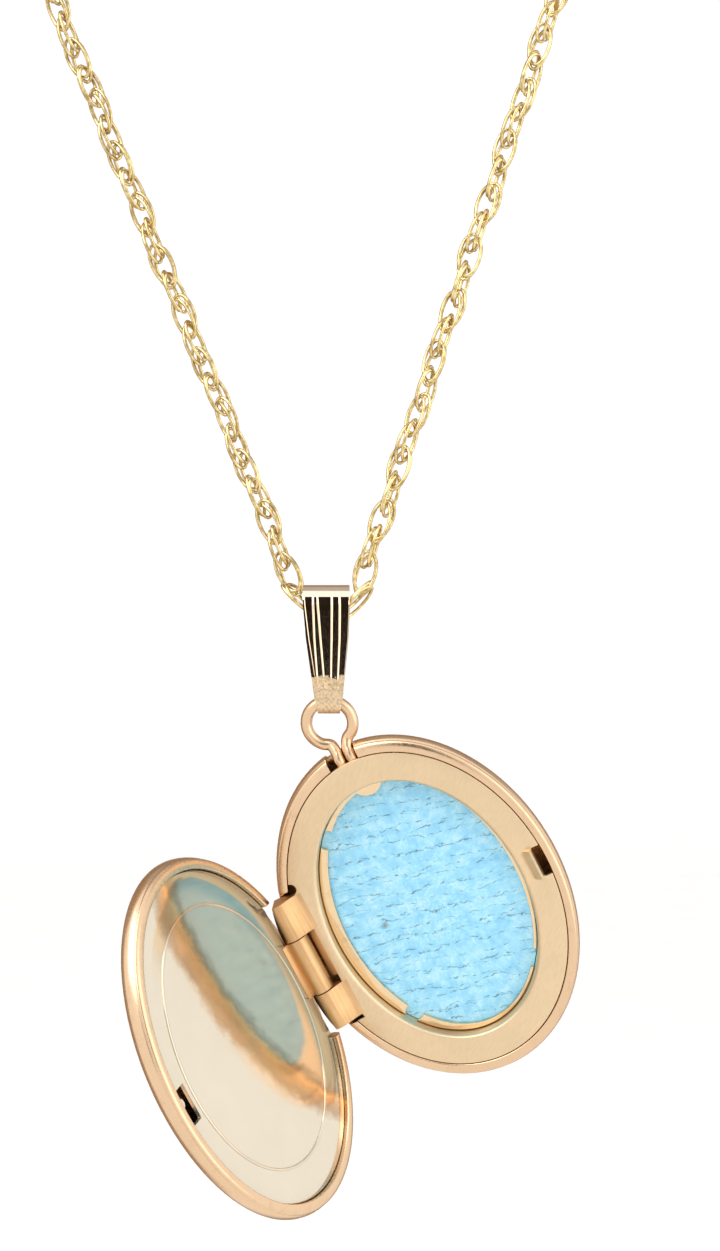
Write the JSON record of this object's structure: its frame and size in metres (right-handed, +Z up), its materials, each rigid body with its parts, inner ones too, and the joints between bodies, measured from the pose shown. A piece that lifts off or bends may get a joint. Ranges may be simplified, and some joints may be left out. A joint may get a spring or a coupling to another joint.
{
  "type": "locket",
  "caption": "Oval photo locket hanging open from a fine rope chain by a fluted bail, with a paper insert under an oval ring.",
  "frame": {"origin": "centre of the display bar that the chain is wound on, above the middle of the locket", "axes": "+X along the display bar, towards the right strand; +Y away from the viewer; +Z up"},
  "size_m": [0.0418, 0.0257, 0.0842],
  "materials": {
    "polished_case": "polished",
    "satin_liner": "satin",
    "mirror_liner": "mirror",
    "chain_gold": "polished",
    "spring_steel": "bright",
    "blue_paper": "grained"
  },
  "bodies": {
    "chain": {"chain_left_strand": "chain_gold", "chain_right_strand": "chain_gold", "chain_left_coil": "chain_gold", "chain_right_coil": "chain_gold", "chain_left_end": "chain_gold", "chain_right_end": "chain_gold", "clasp_body": "chain_gold", "clasp_spring": "spring_steel", "clasp_jump_ring": "chain_gold", "chain_end_ring": "chain_gold"},
    "bail": {"bail": "mirror_liner"},
    "case": {"back_shell": "polished_case", "back_liner": "satin_liner", "hinge_pin": "satin_liner", "hanger_loop": "polished_case"},
    "front": {"front_shell": "polished_case", "front_liner": "mirror_liner"},
    "picture_ring": {"photo_frame": "mirror_liner"},
    "insert": {"photo_insert": "blue_paper"},
    "bolt": {"clasp_bolt": "chain_gold"}
  },
  "joints": [
    {"name": "bail_swing", "type": "hinge", "parent": "chain", "child": "bail", "pos_m": [0, -0.0081, -0.04368], "axis": [1, 0, 0], "range_deg": [-75, 75]},
    {"name": "locket_tilt", "type": "hinge", "parent": "bail", "child": "case", "pos_m": [0.00002, -0.00777, -0.04971], "axis": [-0.0706, -0.961, -0.2672], "range_deg": [-55, 55]},
    {"name": "lid_hinge", "type": "hinge", "parent": "case", "child": "front", "pos_m": [-0.00111, -0.00486, -0.06271], "axis": [-0.4486, -0.2087, 0.869], "range_deg": [0, 112.4]},
    {"name": "picture_ring_lift", "type": "slide", "parent": "case", "child": "picture_ring", "axis": [-0.0706, -0.961, -0.2672], "range_m": [0, 0.0006]},
    {"name": "insert_lift", "type": "slide", "parent": "case", "child": "insert", "axis": [-0.0706, -0.961, -0.2672], "range_m": [0, 0.0003]},
    {"name": "clasp_bolt_slide", "type": "hinge", "parent": "chain", "child": "bolt", "pos_m": [0, 0, 0.0082], "axis": [0, 0, 1], "range_deg": [0, 43], "stiffness_Nm_per_rad": 0.0005, "springref_deg": -28.65}
  ],
  "couplings": [
    {"joint": "insert_lift", "follows": "picture_ring_lift", "ratio": 0.5}
  ]
}
